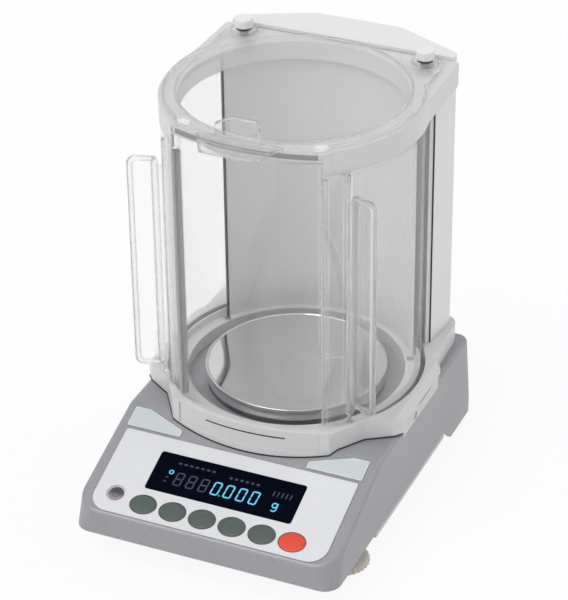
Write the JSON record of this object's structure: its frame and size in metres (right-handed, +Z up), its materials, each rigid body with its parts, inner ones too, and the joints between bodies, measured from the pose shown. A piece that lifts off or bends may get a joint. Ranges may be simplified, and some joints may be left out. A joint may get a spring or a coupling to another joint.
{
  "type": "precision balance",
  "caption": "Precision balance with a sloped keypad, a round weighing pan and a tall round draft shield with two curved sliding doors and a swinging lid.",
  "frame": {"origin": "on the surface it stands on, under the middle of the outline", "axes": "+Z up, -Y towards the user at the keypad, +X to the user's right"},
  "size_m": [0.193, 0.2772, 0.3084],
  "materials": {
    "housing_paint": "silver-grey satin paint",
    "tray_plastic": "moulded grey plastic",
    "gasket_rubber": "soft black seal",
    "overlay_print": "printed pale grey film",
    "display_dark": "dark blue display window",
    "tube_glass": "display tube",
    "board_green": "circuit board",
    "switch_black": "black plastic",
    "screw_steel": "plated steel screws",
    "post_metal": "dark metal",
    "cell_aluminium": "machined aluminium",
    "level_plastic": "level housing",
    "shield_grey": "pale warm grey plastic",
    "clear_plastic": "clear moulded plastic",
    "seal_strip": "pale edge strip",
    "knob_white": "white plastic",
    "lock_grey": "grey plastic slider",
    "key_green": "grey-green rubber keys",
    "key_red": "red rubber key",
    "pan_steel": "polished stainless steel",
    "foot_plastic": "beige-grey plastic",
    "foot_rubber": "dark rubber"
  },
  "bodies": {
    "balance": {"upper_housing": "housing_paint", "base_tray": "tray_plastic", "housing_gasket": "gasket_rubber", "keypad_overlay": "overlay_print", "display_window": "display_dark", "display_tube": "tube_glass", "display_board": "board_green", "key_switches": "switch_black", "main_board": "board_green", "board_screws": "screw_steel", "level_vial": "level_plastic", "level_fluid": "tube_glass", "load_cell": "cell_aluminium", "load_cell_bracket": "cell_aluminium", "load_cell_screws": "screw_steel", "case_screws": "screw_steel", "serial_connector": "switch_black", "power_inlet": "switch_black", "left_plate": "overlay_print", "right_plate": "overlay_print", "draft_ring": "shield_grey", "shield_base": "shield_grey", "shield_screws": "screw_steel", "front_pane": "clear_plastic", "back_wall": "shield_grey", "rear_housing": "shield_grey", "rear_cap": "shield_grey", "upper_frame": "shield_grey", "lid_bumpers": "knob_white", "lid_posts": "post_metal", "post_washers": "post_metal"},
    "front_left_foot": {"front_left_foot_wheel": "foot_plastic", "front_left_foot_pad": "foot_rubber"},
    "front_right_foot": {"front_right_foot_wheel": "foot_plastic", "front_right_foot_pad": "foot_rubber"},
    "rear_left_foot": {"rear_left_foot_wheel": "foot_plastic", "rear_left_foot_pad": "foot_rubber"},
    "rear_right_foot": {"rear_right_foot_wheel": "foot_plastic", "rear_right_foot_pad": "foot_rubber"},
    "left_door": {"left_door_glass": "clear_plastic", "left_door_seal": "seal_strip", "left_door_handle": "clear_plastic"},
    "left_lock_slider": {"left_lock": "lock_grey"},
    "left_knob_cap": {"left_knob": "knob_white"},
    "right_door": {"right_door_glass": "clear_plastic", "right_door_seal": "seal_strip", "right_door_handle": "clear_plastic"},
    "right_lock_slider": {"right_lock": "lock_grey"},
    "right_knob_cap": {"right_knob": "knob_white"},
    "lid": {"lid_plate": "clear_plastic", "lid_handle": "clear_plastic"},
    "power_button": {"power_key": "key_green"},
    "calibration_button": {"calibration_key": "key_green"},
    "mode_button": {"mode_key": "key_green"},
    "sample_button": {"sample_key": "key_green"},
    "print_button": {"print_key": "key_green"},
    "zero_button": {"zero_key": "key_red"},
    "pan_carrier": {"pan_support": "cell_aluminium"},
    "pan": {"weighing_pan": "pan_steel"}
  },
  "joints": [
    {"name": "front_left_foot_turn", "type": "hinge", "parent": "balance", "child": "front_left_foot", "pos_m": [-0.078, -0.07938, 0], "axis": [0, 0, 1], "range_deg": [-900, 900]},
    {"name": "front_right_foot_turn", "type": "hinge", "parent": "balance", "child": "front_right_foot", "pos_m": [0.078, -0.07938, 0], "axis": [0, 0, 1], "range_deg": [-900, 900]},
    {"name": "rear_left_foot_turn", "type": "hinge", "parent": "balance", "child": "rear_left_foot", "pos_m": [-0.068, 0.09337, 0], "axis": [0, 0, 1], "range_deg": [-900, 900]},
    {"name": "rear_right_foot_turn", "type": "hinge", "parent": "balance", "child": "rear_right_foot", "pos_m": [0.068, 0.09337, 0], "axis": [0, 0, 1], "range_deg": [-900, 900]},
    {"name": "right_door_slide", "type": "hinge", "parent": "balance", "child": "right_door", "pos_m": [0, 0.02363, 0.08], "axis": [0, 0, 1], "range_deg": [0, 54]},
    {"name": "left_door_slide", "type": "hinge", "parent": "balance", "child": "left_door", "pos_m": [0, 0.02363, 0.08], "axis": [0, 0, -1], "range_deg": [0, 54]},
    {"name": "lid_swing", "type": "hinge", "parent": "balance", "child": "lid", "pos_m": [-0.0668, 0.09112, 0.296], "axis": [0, 0, -1], "range_deg": [0, 75]},
    {"name": "left_knob_turn", "type": "hinge", "parent": "balance", "child": "left_knob_cap", "pos_m": [-0.0668, 0.09112, 0.305], "axis": [0, 0, 1], "continuous": true},
    {"name": "left_lock_slide", "type": "slide", "parent": "balance", "child": "left_lock_slider", "axis": [0, 1, 0], "range_m": [0, 0.004]},
    {"name": "right_knob_turn", "type": "hinge", "parent": "balance", "child": "right_knob_cap", "pos_m": [0.0668, 0.09112, 0.305], "axis": [0, 0, 1], "continuous": true},
    {"name": "right_lock_slide", "type": "slide", "parent": "balance", "child": "right_lock_slider", "axis": [0, 1, 0], "range_m": [0, 0.004]},
    {"name": "power_key_press", "type": "slide", "parent": "balance", "child": "power_button", "axis": [0, 0.3469, -0.9379], "range_m": [0, 0.0006], "stiffness_N_per_m": 1500, "springref_m": -0.0003},
    {"name": "calibration_key_press", "type": "slide", "parent": "balance", "child": "calibration_button", "axis": [0, 0.3469, -0.9379], "range_m": [0, 0.0006], "stiffness_N_per_m": 1500, "springref_m": -0.0003},
    {"name": "mode_key_press", "type": "slide", "parent": "balance", "child": "mode_button", "axis": [0, 0.3469, -0.9379], "range_m": [0, 0.0006], "stiffness_N_per_m": 1500, "springref_m": -0.0003},
    {"name": "sample_key_press", "type": "slide", "parent": "balance", "child": "sample_button", "axis": [0, 0.3469, -0.9379], "range_m": [0, 0.0006], "stiffness_N_per_m": 1500, "springref_m": -0.0003},
    {"name": "print_key_press", "type": "slide", "parent": "balance", "child": "print_button", "axis": [0, 0.3469, -0.9379], "range_m": [0, 0.0006], "stiffness_N_per_m": 1500, "springref_m": -0.0003},
    {"name": "zero_key_press", "type": "slide", "parent": "balance", "child": "zero_button", "axis": [0, 0.3469, -0.9379], "range_m": [0, 0.0006], "stiffness_N_per_m": 1500, "springref_m": -0.0003},
    {"name": "cell_deflection", "type": "slide", "parent": "balance", "child": "pan_carrier", "axis": [0, 0, 1], "range_m": [-0.0005, 0], "stiffness_N_per_m": 20000, "springref_m": 0.0002},
    {"name": "pan_lift_off", "type": "slide", "parent": "pan_carrier", "child": "pan", "axis": [0, 0, 1], "range_m": [0, 0.1]}
  ]
}
